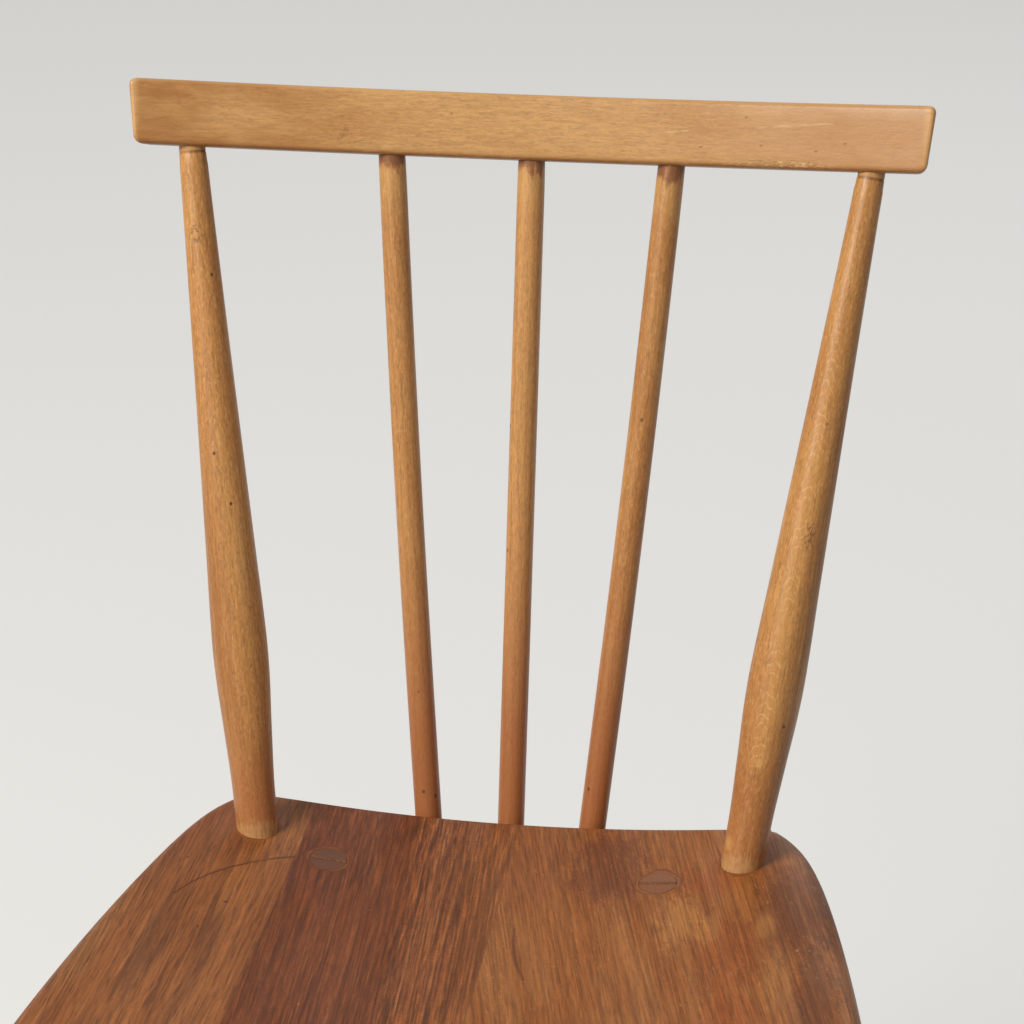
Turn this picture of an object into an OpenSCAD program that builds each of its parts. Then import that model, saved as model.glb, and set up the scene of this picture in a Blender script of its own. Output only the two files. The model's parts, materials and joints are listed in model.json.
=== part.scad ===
// Spindle-back kitchen chair: a dished seat of four glued boards, four turned and wedged legs,
// an H stretcher, two turned back posts, three plain spindles and a bowed crest rail.
// X is to the right of someone facing the chair, Y is to the back, Z is up. Millimetres.
// The upper part is drawn level, in the seat's own frame, whose origin lies midway between
// the two post sockets on the seat's top face. on_seat() then leans it back by seat_tilt.

/* [Seat] */
// Height of the seat's top face at the back posts
seat_h = 416; // [380:1:450]
// How far the seat slopes down to the back, in degrees
seat_tilt = 2; // [0:0.5:4]
// Thickness of the seat blank
seat_t = 32; // [26:1:40]
// Half of the seat's width across its front, before the corners are rounded
seat_half_w = 203; // [188:1:215]
// Distance from the post line forward to the seat's front edge
seat_front = 325; // [300:1:350]
// Distance from the post line back to the seat's back edge
seat_back = 64; // [60:1:72]
// Depth of the dish at its lowest point
dish_depth = 10.5; // [6:0.5:12]
// Slope of the bevel that the spindles stand in, in degrees
deck_slope = 36; // [34:1:40]
// Diameter of the through tenons at the tops of the legs
tenon_d = 19; // [16:0.5:21]

/* [Back] */
// Half of the distance between the posts at the seat
post_foot_x = 125; // [115:1:130]
// Half of the distance between the posts under the rail
post_top_x = 170.4; // [155:1:178]
// How far behind the seat sockets the posts meet the rail
back_lean = 96; // [70:1:115]
// Height of the rail's lower edge above the seat
back_h = 332.6; // [300:1:360]
// Diameter of a post at its thickest
post_d = 28.2; // [24:0.2:32]
// Diameter of the spindles
spindle_d = 14; // [12:0.5:16]
// Distance between the spindles' centres under the rail
spindle_gap_top = 71; // [60:1:76]
// Distance between the spindles' centres at the seat
spindle_gap_foot = 44.5; // [38:0.5:60]

/* [Crest rail] */
// Half of the rail's length along its upper edge
rail_half_l = 200; // [195:1:215]
// Height of the rail
rail_h = 32.6; // [28:0.2:40]
// Thickness of the rail
rail_t = 19; // [16:0.5:24]
// How far the middle of the rail lies behind its ends
rail_bow = 29.5; // [15:0.5:40]

/* [Legs] */
// Half of the distance between the front legs at the seat
front_top_x = 122; // [112:1:130]
// Half of the distance between the front feet
front_foot_x = 172; // [150:1:178]
// Half of the distance between the back legs at the seat
back_top_x = 84; // [78:1:92]
// Half of the distance between the back feet
back_foot_x = 158; // [140:1:170]
// Diameter of a leg at its thickest
leg_d = 30; // [26:0.5:34]
// Diameter of a leg at the floor
leg_foot_d = 20; // [18:0.5:26]
// Height of the side stretchers above the floor
stretcher_h = 158; // [130:1:190]
// Diameter of the side stretchers in the middle
side_stretcher_d = 21; // [17:0.5:24]
// Diameter of the cross stretcher in the middle
cross_stretcher_d = 19; // [16:0.5:22]

/* [Hidden] */

// Seat: the dish is part of a ring surface, curved one way across and the other way along
dish_y = -100;
dish_across_r = 950;
dish_along_r = 2400;
dish_arc = 24;
seat_side_r = 1590;
seat_back_r = 900;
seat_front_r = 1150;
seat_side_y = -345;
// The rim as [height below the top face, inset from the widest outline], for a seat rim_t thick
rim = [[0, 8], [-2, 4], [-6, 1.2], [-12, 0], [-20, 0.8], [-27, 4.5], [-32, 12]];
rim_t = 32;
widest_z = rim[3][0] * seat_t / rim_t;
rim_points = 120;
seat_mid = [0, -140];
corner_power = 11;
// The bevel at the back starts at deck_ridge_y, where the dish runs out over the seat's edge
deck_ridge_y = 34;
deck_curve_r = 1450;
deck_length = 700;
// Glue lines between the boards, from left to right
glue_x = [-100.5, 7, 105];
board_span = 500;

// Sockets and the turned ends that fill them
post_socket_d = 21.4;
post_socket_depth = 20;
post_tenon_d = 11;
spindle_tenon_d = 10;
spindle_socket_depth = 13;
rail_socket_depth = 17;
spindle_mid_y = 53;
spindle_side_y = 49;
spindle_entry_z = -17;

// Crest rail
rail_edge_r = 3.2;
rail_slant = 3.4;
rail_top_corner_r = 3.5;
rail_low_corner_r = 6;
rail_lean = atan2(back_lean, back_h);
rail_r = (rail_half_l ^ 2 + rail_bow ^ 2) / (2 * rail_bow);

// Legs and stretchers
front_top_y = -262;
front_foot_y = -292;
back_top_y = -19;
back_foot_y = 88;
wedge_t = 2.6;
wedge_tip_t = 0.8;
wedge_depth = 19;
proud = 8;
stretcher_tenon_d = 12;
stretcher_past_axis = 2;

// The seat's frame is moved back so that the whole chair stands centred over the origin
rail_back_y = back_lean + post_bow() + rail_h * sin(rail_lean) + rail_t / 2 * cos(rail_lean);
rail_top_z = back_h + rail_h * cos(rail_lean);
chair_y = (seat_front * cos(seat_tilt) - widest_z * sin(seat_tilt)
    - rail_back_y * cos(seat_tilt) - rail_top_z * sin(seat_tilt)) / 2;

beech = "#b9824a";
beech_pale = "#c99a5f";
elm = "#8f5c36";
elm_dark = "#74432e";
elm_red = "#98603a";

function post_bow() = rail_bow * (post_top_x / rail_half_l) ^ 2;
// How far the rail's middle line lies behind the post line at a distance x from the middle
function rail_set(x) = rail_bow * ((post_top_x / rail_half_l) ^ 2 - (x / rail_half_l) ^ 2);
function on_rail(x) = [x, back_lean + rail_set(x) * cos(rail_lean),
    back_h - rail_set(x) * sin(rail_lean)];
function floor_z(y) = y * tan(seat_tilt) - seat_h / cos(seat_tilt);
// Depth of the dished top below the flat top face
function dish_z(x, y) = min(0, x ^ 2 / (2 * dish_across_r)
    + (y - dish_y) ^ 2 / (2 * dish_along_r) - dish_depth);
function leg_top(x, y) = [x, y, dish_z(x, y)];
function leg_foot(x, y) = [x, y, floor_z(y)];
function along(a, b, d) = a + (b - a) * d / norm(b - a);
// The point of the line from the foot b to the top a that is h above the foot
function above_foot(a, b, h) = b + (a - b) * h / (a[2] - b[2]);

module on_seat() {
    translate([0, chair_y, seat_h]) rotate([-seat_tilt, 0, 0]) children();
}

// Turns its children's Z axis onto the line from a to b, with their origin at a
module aim(a, b) {
    v = b - a;
    translate(a) rotate([0, acos(v[2] / norm(v)), atan2(v[1], v[0])]) children();
}

// A turned piece from a to b, from its [distance, diameter] pairs
module turned(a, b, steps) {
    aim(a, b) rotate_extrude($fn = 96)
        polygon(concat([[0, steps[0][0]]], [for (s = steps) [s[1] / 2, s[0]]],
            [[0, steps[len(steps) - 1][0]]]));
}

module drill(a, b, d, deep) {
    aim(a, b) cylinder(h = deep, d = d, $fn = 192);
}

// ---- seat ----

// The seat's edge is the soft minimum of four long arcs, met by a ray at angle a from the
// middle of the seat, so that the arcs run into each other in round corners
function ray_to_arc(c, r, a) =
    let (q = seat_mid - c, d = [cos(a), sin(a)]) sqrt((q * d) ^ 2 - q * q + r ^ 2) - q * d;
function seat_reach(a, inset) = pow(
    pow(ray_to_arc([0, seat_back - seat_back_r], seat_back_r - inset, a), -corner_power)
    + pow(ray_to_arc([0, seat_front_r - seat_front], seat_front_r - inset, a), -corner_power)
    + pow(ray_to_arc([seat_half_w - seat_side_r, seat_side_y], seat_side_r - inset, a), -corner_power)
    + pow(ray_to_arc([seat_side_r - seat_half_w, seat_side_y], seat_side_r - inset, a), -corner_power),
    -1 / corner_power);
function rim_point(step, k) = let (a = k * 360 / rim_points, r = seat_reach(a, step[1]))
    [seat_mid[0] + r * cos(a), seat_mid[1] + r * sin(a), step[0] * seat_t / rim_t];

// The seat before it is dished and bevelled: one ring of points for each step of the rim
module seat_blank() {
    n = rim_points;
    last = (len(rim) - 1) * n;
    polyhedron(points = [for (step = rim) for (k = [0:n - 1]) rim_point(step, k)],
        faces = concat([[for (k = [0:n - 1]) n - 1 - k]],
            [for (i = [1:len(rim) - 1]) for (k = [0:n - 1]) for (half = [0, 1])
                let (up = (i - 1) * n, down = i * n, next = (k + 1) % n)
                half == 0 ? [up + k, up + next, down + k] : [up + next, down + next, down + k]],
            [[for (k = [0:n - 1]) last + k]]));
}

module dish() {
    axis_z = dish_along_r - dish_depth;
    translate([0, dish_y, axis_z]) rotate([0, 90, 0]) rotate([0, 0, -dish_arc / 2])
        rotate_extrude(angle = dish_arc, $fn = 900) intersection() {
            translate([dish_along_r - dish_across_r, 0]) circle(dish_across_r, $fn = 720);
            translate([dish_along_r - 60, -board_span / 2]) square([90, board_span]);
        }
}

// What stands above the seat at a leg's top: a block on the plane that touches the dish there
module above_seat(top) {
    dished = top[2] < 0 ? 1 : 0;
    translate(top) rotate([dished * atan((top[1] - dish_y) / dish_along_r),
        -dished * atan(top[0] / dish_across_r), 0])
        translate([-2 * tenon_d, -2 * tenon_d, 0]) cube([4 * tenon_d, 4 * tenon_d, 2 * tenon_d]);
}

// The bevel at the back: a long shallow hollow that runs down over the back edge
module deck() {
    translate([0, deck_ridge_y, dish_z(0, deck_ridge_y)]) rotate([-deck_slope, 0, 0])
        translate([0, -deck_length / 2, deck_curve_r]) rotate([-90, 0, 0])
            cylinder(r = deck_curve_r, h = deck_length, $fn = 1080);
}

module leg_bore(top, foot) {
    drill(along(top, foot, -tenon_d), foot, tenon_d, seat_t * 3);
}

module seat_sockets() {
    for (side = [-1, 1]) {
        leg_bore(leg_top(side * front_top_x, front_top_y), leg_foot(side * front_foot_x, front_foot_y));
        leg_bore(leg_top(side * back_top_x, back_top_y), leg_foot(side * back_foot_x, back_foot_y));
        drill(post_end(side), post_head(side), post_socket_d, post_socket_depth * 2);
    }
    for (i = [-1, 0, 1])
        drill(spindle_end(i), spindle_head(i), spindle_tenon_d, spindle_socket_depth * 3);
}

module seat() {
    difference() {
        seat_blank();
        dish();
        deck();
        seat_sockets();
    }
}

module board(from_x, to_x, colour) {
    color(colour) on_seat() intersection() {
        seat();
        translate([from_x, -board_span, -board_span / 2])
            cube([to_x - from_x, board_span * 2, board_span]);
    }
}

module seat_board_left() board(-board_span, glue_x[0], elm);
module seat_board_mid_left() board(glue_x[0], glue_x[1], elm_dark);
module seat_board_mid_right() board(glue_x[1], glue_x[2], elm_red);
module seat_board_right() board(glue_x[2], board_span, elm_red);

// ---- back ----

function post_foot(side) = [side * post_foot_x, 0, 0];
function post_head(side) = [side * post_top_x, back_lean, back_h];
function post_end(side) = along(post_foot(side), post_head(side), -post_socket_depth);
function spindle_foot(i) =
    [i * spindle_gap_foot, i == 0 ? spindle_mid_y : spindle_side_y, 0];
function spindle_head(i) = on_rail(i * spindle_gap_top);
// Where a spindle enters the bevel, and the blind end of its socket below that
function spindle_entry(i) = spindle_foot(i)
    + (spindle_head(i) - spindle_foot(i)) * spindle_entry_z / spindle_head(i)[2];
function spindle_end(i) = along(spindle_entry(i), spindle_head(i), -spindle_socket_depth);

// Everything below the crest rail's lower face, to fit what stands under it
module under_rail() {
    on_lean() translate([-board_span, -board_span, -2 * board_span])
        cube([2 * board_span, 2 * board_span, 2 * board_span]);
}

module back_post(side) {
    shaft = norm(post_head(side) - post_foot(side));
    deep = post_socket_depth;
    color(beech) on_seat() {
        drill(post_foot(side), post_head(side), post_tenon_d, shaft + rail_socket_depth);
        intersection() {
            turned(post_end(side), post_head(side), [
                [0, post_socket_d], [deep + 4, post_socket_d], [deep + 18, post_d * 0.765],
                [deep + 50, post_d * 0.865], [deep + 82, post_d * 0.985], [deep + 93, post_d],
                [deep + 105, post_d * 0.985], [deep + 140, post_d * 0.905],
                [deep + shaft - 24, post_d * 0.528], [deep + shaft - 9, post_d * 0.502],
                [deep + shaft - 4, post_d * 0.474], [deep + shaft + 4, post_d * 0.468]]);
            under_rail();
        }
    }
}

module spindle(i) {
    // The full diameter is fitted to the bevel at its foot and to the rail at its head
    full = norm(spindle_head(i) - spindle_end(i));
    color(beech) on_seat() {
        drill(spindle_end(i), spindle_head(i), spindle_tenon_d, full + rail_socket_depth);
        intersection() {
            drill(spindle_end(i), spindle_head(i), spindle_d, full + spindle_d / 2);
            deck();
            under_rail();
        }
    }
}

module back_post_left() back_post(-1);
module back_post_right() back_post(1);
module spindle_left() spindle(-1);
module spindle_centre() spindle(0);
module spindle_right() spindle(1);

// Quarter circle of points about c, from angle a to angle a + 90
function corner(c, r, a) = [for (k = [0:6]) c + r * [cos(a + k * 15), sin(a + k * 15)]];

// The rail seen from the front: its ends lean in towards the bottom
module rail_front() {
    top_x = rail_half_l - rail_top_corner_r;
    low_x = rail_half_l - rail_slant - rail_low_corner_r;
    polygon(concat(corner([top_x, rail_h - rail_top_corner_r], rail_top_corner_r, 0),
        corner([-top_x, rail_h - rail_top_corner_r], rail_top_corner_r, 90),
        corner([-low_x, rail_low_corner_r], rail_low_corner_r, 180),
        corner([low_x, rail_low_corner_r], rail_low_corner_r, 270)));
}

module rail_section() {
    x = rail_t / 2 - rail_edge_r;
    y = rail_h - rail_edge_r;
    polygon(concat(corner([x, y], rail_edge_r, 0), corner([-x, y], rail_edge_r, 90),
        corner([-x, rail_edge_r], rail_edge_r, 180), corner([x, rail_edge_r], rail_edge_r, 270)));
}

// Stands its children, drawn in X and Z about the post line, on the lean of the rail
module on_lean() {
    translate([0, back_lean, back_h]) rotate([-rail_lean, 0, 0]) children();
}

module crest_rail() {
    swing = asin(rail_half_l / rail_r) + 3;
    color(beech_pale) on_seat() difference() {
        on_lean() intersection() {
            translate([0, post_bow() - rail_r, 0]) rotate([0, 0, 90 - swing])
                rotate_extrude(angle = 2 * swing, $fn = 360) translate([rail_r, 0]) rail_section();
            translate([0, board_span / 2, 0]) rotate([90, 0, 0])
                linear_extrude(board_span) rail_front();
        }
        for (side = [-1, 1])
            drill(post_end(side), post_head(side), post_tenon_d,
                norm(post_head(side) - post_end(side)) + rail_socket_depth);
        for (i = [-1, 0, 1])
            drill(spindle_end(i), spindle_head(i), spindle_tenon_d,
                norm(spindle_head(i) - spindle_end(i)) + rail_socket_depth);
    }
}

// ---- legs ----

module floor_block() {
    translate([-board_span, -board_span, -board_span]) cube([2 * board_span, 2 * board_span, board_span]);
}

// A wedge driven into a tenon from above, its long edge across the seat. It is drawn a little
// proud of the tenon, and what stands above the seat is cut off.
module wedge_shape(top, foot) {
    aim(top, foot) rotate([0, 0, atan2(foot[1] - top[1], foot[0] - top[0])])
        translate([-tenon_d, 0, 0]) rotate([90, 0, 90]) linear_extrude(2 * tenon_d)
            polygon([[-wedge_t / 2, -proud], [wedge_t / 2, -proud],
                [wedge_tip_t / 2, wedge_depth], [-wedge_tip_t / 2, wedge_depth]]);
}

module leg_blank(top, foot) {
    long = norm(foot - top);
    under = proud + seat_t;
    drill(along(top, foot, -proud), foot, tenon_d, 2 * seat_t);
    // The turned part is fitted to the seat's underside, and runs on past the floor
    intersection() {
        translate([-board_span, -board_span, -2 * board_span - seat_t])
            cube([2 * board_span, 2 * board_span, 2 * board_span]);
        turned(along(top, foot, -proud), foot, [[under - tenon_d, tenon_d + 3],
            [under, tenon_d + 3.4], [under + 8, tenon_d + 5.4],
            [proud + long * 0.26, leg_d * 0.93], [proud + long * 0.36, leg_d * 0.99],
            [proud + long * 0.42, leg_d], [proud + long * 0.5, leg_d * 0.985],
            [proud + long * 0.66, leg_d * 0.89], [proud + long * 0.985, leg_foot_d + 0.4],
            [proud + long + leg_foot_d, leg_foot_d]]);
    }
}

module leg(top, foot, bore_at, bore_to) {
    color(beech) difference() {
        on_seat() difference() {
            leg_blank(top, foot);
            above_seat(top);
            wedge_shape(top, foot);
            drill(along(bore_at, bore_to, -stretcher_past_axis), bore_to, stretcher_tenon_d, leg_d);
        }
        floor_block();
    }
}

module wedge(top, foot) {
    color(beech_pale) on_seat() difference() {
        intersection() {
            wedge_shape(top, foot);
            drill(along(top, foot, -tenon_d), foot, tenon_d, 3 * seat_t);
        }
        above_seat(top);
    }
}

function front_top(side) = leg_top(side * front_top_x, front_top_y);
function front_foot(side) = leg_foot(side * front_foot_x, front_foot_y);
function back_top(side) = leg_top(side * back_top_x, back_top_y);
function back_foot(side) = leg_foot(side * back_foot_x, back_foot_y);
function front_joint(side) = above_foot(front_top(side), front_foot(side), stretcher_h);
function back_joint(side) = above_foot(back_top(side), back_foot(side), stretcher_h);
function cross_joint(side) = (front_joint(side) + back_joint(side)) / 2;

module leg_front_left() leg(front_top(-1), front_foot(-1), front_joint(-1), back_joint(-1));
module leg_front_right() leg(front_top(1), front_foot(1), front_joint(1), back_joint(1));
module leg_back_left() leg(back_top(-1), back_foot(-1), back_joint(-1), front_joint(-1));
module leg_back_right() leg(back_top(1), back_foot(1), back_joint(1), front_joint(1));
module wedge_front_left() wedge(front_top(-1), front_foot(-1));
module wedge_front_right() wedge(front_top(1), front_foot(1));
module wedge_back_left() wedge(back_top(-1), back_foot(-1));
module wedge_back_right() wedge(back_top(1), back_foot(1));

// ---- stretchers ----

module stretcher(a, b, d) {
    from = along(a, b, -stretcher_past_axis);
    long = norm(b - a) + 2 * stretcher_past_axis;
    end = leg_d / 2 + 6;
    turned(from, b, [[0, stretcher_tenon_d], [end, stretcher_tenon_d],
        [end + 8, stretcher_tenon_d + 1], [long * 0.3, d * 0.9], [long * 0.42, d * 0.985],
        [long * 0.5, d], [long * 0.58, d * 0.985], [long * 0.7, d * 0.9],
        [long - end - 8, stretcher_tenon_d + 1], [long - end, stretcher_tenon_d],
        [long, stretcher_tenon_d]]);
}

module side_stretcher(side) {
    color(beech) on_seat() difference() {
        stretcher(front_joint(side), back_joint(side), side_stretcher_d);
        drill(along(cross_joint(side), cross_joint(-side), -stretcher_past_axis),
            cross_joint(-side), stretcher_tenon_d, side_stretcher_d);
    }
}

module side_stretcher_left() side_stretcher(-1);
module side_stretcher_right() side_stretcher(1);
module cross_stretcher()
    color(beech) on_seat() stretcher(cross_joint(-1), cross_joint(1), cross_stretcher_d);

crest_rail();
back_post_left();
back_post_right();
spindle_left();
spindle_centre();
spindle_right();
seat_board_left();
seat_board_mid_left();
seat_board_mid_right();
seat_board_right();
leg_front_left();
leg_front_right();
leg_back_left();
leg_back_right();
wedge_front_left();
wedge_front_right();
wedge_back_left();
wedge_back_right();
side_stretcher_left();
side_stretcher_right();
cross_stretcher();
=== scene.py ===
# %% [markdown]
# # A spindle-back kitchen chair
# This lesson builds the finish of an old kitchen chair: a thick seat of four boards, dished to fit
# the sitter, turned legs wedged through it, and a back of two swelled posts, three plain spindles
# and a bowed crest rail. All of it is wood under a clear varnish that has worn, stained and
# scratched. The CAD model gives every piece its place, and each new piece here stands for one of
# its nodes. We load it first and keep its box, because the looks may not change the size.

# %% Load the frame
import json
import math
from types import SimpleNamespace
import bmesh
import bpy
from mathutils import Matrix, Vector

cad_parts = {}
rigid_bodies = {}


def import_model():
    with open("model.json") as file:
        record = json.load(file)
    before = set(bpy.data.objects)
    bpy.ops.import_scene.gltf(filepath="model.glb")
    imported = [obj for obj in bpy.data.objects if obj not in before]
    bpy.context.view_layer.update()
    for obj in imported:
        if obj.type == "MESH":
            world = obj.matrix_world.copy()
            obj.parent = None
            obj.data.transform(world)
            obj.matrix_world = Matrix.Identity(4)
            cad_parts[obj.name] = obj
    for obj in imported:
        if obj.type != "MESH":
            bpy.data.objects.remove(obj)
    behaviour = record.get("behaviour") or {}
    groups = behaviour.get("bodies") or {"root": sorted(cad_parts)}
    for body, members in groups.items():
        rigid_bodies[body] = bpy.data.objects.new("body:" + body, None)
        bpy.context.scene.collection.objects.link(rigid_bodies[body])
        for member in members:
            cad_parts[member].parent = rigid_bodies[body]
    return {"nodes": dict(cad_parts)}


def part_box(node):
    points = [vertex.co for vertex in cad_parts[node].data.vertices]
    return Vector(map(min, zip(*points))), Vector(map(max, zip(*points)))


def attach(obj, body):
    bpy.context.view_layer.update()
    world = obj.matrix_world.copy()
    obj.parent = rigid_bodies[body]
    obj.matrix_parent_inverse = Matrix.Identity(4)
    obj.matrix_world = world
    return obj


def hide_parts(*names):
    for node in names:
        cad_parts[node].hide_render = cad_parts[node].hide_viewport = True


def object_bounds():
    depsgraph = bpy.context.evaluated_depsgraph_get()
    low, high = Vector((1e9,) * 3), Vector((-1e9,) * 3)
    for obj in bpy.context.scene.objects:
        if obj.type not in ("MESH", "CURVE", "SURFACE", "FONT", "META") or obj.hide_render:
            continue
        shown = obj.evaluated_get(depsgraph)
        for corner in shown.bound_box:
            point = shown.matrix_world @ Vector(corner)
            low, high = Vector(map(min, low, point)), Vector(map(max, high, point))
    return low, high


for leftover in list(bpy.data.objects):
    bpy.data.objects.remove(leftover)
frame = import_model()
cad_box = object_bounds()
print("CAD nodes:", len(frame["nodes"]), "size in mm:", [round(1000 * s) for s in cad_box[1] - cad_box[0]])

# %% [markdown]
# ## Objects and meshes
# Everything in the scene is an object that holds data: a mesh, a lamp or a lens. An object shows
# only once it is linked to the scene. A mesh is drawn as a bmesh first and then written out.

# %% Object helpers
def put(name, data, place=(0, 0, 0)):
    """Puts some data into the scene as an object."""
    thing = bpy.data.objects.new(name, data)
    thing.location = place
    bpy.context.scene.collection.objects.link(thing)
    return thing


def write_mesh(shape, name):
    """Writes a bmesh out as a mesh, and frees it."""
    mesh = bpy.data.meshes.new(name)
    shape.to_mesh(mesh)
    shape.free()
    return mesh


# %% [markdown]
# ## The camera
# The view looks down on the chair from a little to its right, through a long lens, so the lines
# stay nearly parallel. Depth of field is off, because the other views move the same camera.

# %% Camera
lens = bpy.data.cameras.new("long_lens")
lens.sensor_width = 36
lens.lens = 95.13
lens.clip_end = 60
camera = put("camera", lens, (0.1778, -1.0934, 1.1243))
camera.rotation_euler = [math.radians(angle) for angle in (66.33, 0.097, 8.135)]
bpy.context.scene.camera = camera
print("camera is", round((camera.location - sum(cad_box, Vector()) / 2).length, 2), "m from the chair")

# %% [markdown]
# ## Adding nodes
# A material is a small program made of nodes. One function adds a node: it sets the node's own
# choices, then fills each input, either with a value or with a link from another node's output.
# Colours are written as hex codes, which are sRGB, and Blender computes in linear light, so one
# function turns one into the other.

# %% Node and colour helpers
def linear(hex_code):
    """An sRGB hex code such as #C4914F as linear red, green, blue and alpha."""
    parts = [int(hex_code[i:i + 2], 16) / 255 for i in (1, 3, 5)]
    return [p / 12.92 if p <= 0.04045 else ((p + 0.055) / 1.055) ** 2.4 for p in parts] + [1.0]


def add(tree, kind, choices, inputs, output=0):
    """Adds a node with its choices and inputs, listed in order or named, and returns an output."""
    node = tree.nodes.new("ShaderNode" + kind)
    for name, value in choices.items():
        setattr(node, name, value)
    for name, value in inputs.items() if isinstance(inputs, dict) else enumerate(inputs):
        if isinstance(value, bpy.types.NodeSocket):
            tree.links.new(value, node.inputs[name])
        else:
            node.inputs[name].default_value = value
    return node.outputs[output]


TIMES = {"operation": "MULTIPLY"}
print("red of #C4914F in linear light:", round(linear("#C4914F")[0], 3))

# %% [markdown]
# ## The studio
# A plain pale floor and a pale world give soft light from all sides. One large lamp stands at the
# upper left in front, so the turned pieces get a soft highlight on their left and shade on their
# right, and a weak one behind the chair keeps its back from going flat. Together they light a
# surface to about the brightness that its colour is written with.
# The floor and the room look paler than they are lit. A Light Path node tells a ray that is seen,
# by the camera or in a reflection, from one that carries light to the chair, and only a ray that
# is seen finds the added brightness. So the backdrop is pale and the wood isn't washed out.

# %% Floor
shape = bmesh.new()
bmesh.ops.create_circle(shape, cap_ends=True, segments=64, radius=14)
bmesh.ops.translate(shape, verts=shape.verts, vec=(0, 0, -0.0006))
floor = put("floor", write_mesh(shape, "floor"))
paint = bpy.data.materials.new("matt_floor_paint")
paint.use_nodes = True
paint_inputs = paint.node_tree.nodes["Principled BSDF"].inputs
paint_inputs["Base Color"].default_value = linear("#ABAAA7")
paint_inputs["Roughness"].default_value = 0.9
paint_inputs["Emission Color"].default_value = linear("#F6F6F4")


def seen(tree, strength):
    """The strength for a ray that reaches the eye, straight or off a glossy surface, and else 0."""
    reaches_eye = 0.0
    for ray in ("Is Camera Ray", "Is Glossy Ray", "Is Transmission Ray"):
        ray = add(tree, "LightPath", {}, {}, ray)
        reaches_eye = add(tree, "Math", {"operation": "MAXIMUM"}, [reaches_eye, ray])
    return add(tree, "Math", TIMES, [reaches_eye, strength])


paint.node_tree.links.new(seen(paint.node_tree, 0.472), paint_inputs["Emission Strength"])
floor.data.materials.append(paint)
print("floor radius 14 m, just under the feet")

# %% World and lamps
bpy.context.scene.view_settings.view_transform = "Standard"
world = bpy.data.worlds.new("pale_room")
bpy.context.scene.world = world
world.use_nodes = True
world.node_tree.nodes["Background"].inputs["Color"].default_value = linear("#E6E5E3")
room = add(world.node_tree, "Math", {"operation": "MAXIMUM"}, [seen(world.node_tree, 0.7), 0.42])
world.node_tree.links.new(room, world.node_tree.nodes["Background"].inputs["Strength"])


def soft_lamp(name, place, target, size, watts, tint):
    lamp = bpy.data.lights.new(name, "AREA")
    lamp.shape = "DISK"
    lamp.size = size
    lamp.energy = watts
    lamp.color = linear(tint)[:3]
    aimed = (Vector(target) - Vector(place)).to_track_quat("-Z", "Y")
    put(name, lamp, place).rotation_euler = aimed.to_euler()


soft_lamp("key_lamp", (-1.9, -1.8, 2.6), (0, 0, 0.5), 1.7, 112, "#FFFAF2")
soft_lamp("back_lamp", (0.7, 2.8, 2.2), (0, 0, 0.4), 1.8, 10, "#F6F9FF")

# %% [markdown]
# ## The seat's frame
# A chair maker measures a chair from its seat, so every piece here is drawn in millimetres in the
# seat's own frame: the origin lies midway between the two post sockets, X is right, Y is back and
# Z is up. The seat slopes 2 degrees down to the back. One matrix turns that frame into the world's
# metres, and the seat's front edge in the CAD box says how far back it stands.

# %% Seat frame
SEAT_TILT = math.radians(2)
SEAT_FRONT, SEAT_H, SEAT_T = 325, 416, 32
WIDEST = 12
front_edge = Vector((0, -SEAT_FRONT, -WIDEST))
stand_back = cad_box[0].y * 1000 - front_edge.y * math.cos(SEAT_TILT) - front_edge.z * math.sin(SEAT_TILT)
seat_frame = (Matrix.Scale(0.001, 4) @ Matrix.Translation((0, stand_back, SEAT_H))
              @ Matrix.Rotation(-SEAT_TILT, 4, "X"))
UP = Vector((0, -math.sin(SEAT_TILT), math.cos(SEAT_TILT)))
FLOOR_POINT = Vector((0, 0, -SEAT_H / math.cos(SEAT_TILT)))
print("the seat's origin is", round(stand_back, 1), "mm behind the middle of the chair")

# %% [markdown]
# ## Finishing a piece
# Wood grain belongs to the timber and not to the room, so each mesh carries an attribute named
# timber: where each point lay in the blank before the piece was turned or bent, in millimetres,
# with Z along the grain. Materials read it, so the grain follows every piece. The attribute is
# filled before the piece is laid in place. Normals are made to point outwards, every face is
# smooth, and edges sharper than 35 degrees stay crisp.

# %% Finishing helper
pieces = {}


def keep_timber(shape, along_grain="Z"):
    """Stores each point's place in the blank, with Z along the grain."""
    layer = shape.verts.layers.float_vector.new("timber")
    for vert in shape.verts:
        x, y, z = vert.co
        vert[layer] = {"X": (y, z, x), "Y": (x, z, y), "Z": (x, y, z)}[along_grain]


def finish_piece(shape, node, place=Matrix()):
    """Turns a bmesh drawn in the blank's frame into the piece that stands for a CAD node."""
    bmesh.ops.transform(shape, matrix=seat_frame @ place, verts=shape.verts)
    bmesh.ops.recalc_face_normals(shape, faces=shape.faces)
    for face in shape.faces:
        face.smooth = True
    mesh = write_mesh(shape, node + "_wood")
    mesh.set_sharp_from_angle(angle=math.radians(35))
    piece = put(node + "_wood", mesh)
    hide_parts(node)
    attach(piece, "root")
    pieces[node] = piece
    low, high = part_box(node)
    points = [v.co for v in mesh.vertices]
    grown = [round(1000 * (pick(p[i] for p in points) - edge[i]), 1)
             for pick, edge in ((min, low), (max, high)) for i in range(3)]
    print(f"{node}: {len(mesh.polygons)} faces, off the CAD node's box by {grown} mm")
    return piece


def aim(start, end):
    """The matrix that lays the Z axis along the line from start to end."""
    line = Vector(end) - Vector(start)
    return (Matrix.Translation(start) @ Matrix.Rotation(math.atan2(line.y, line.x), 4, "Z")
            @ Matrix.Rotation(math.acos(line.z / line.length), 4, "Y"))


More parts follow.
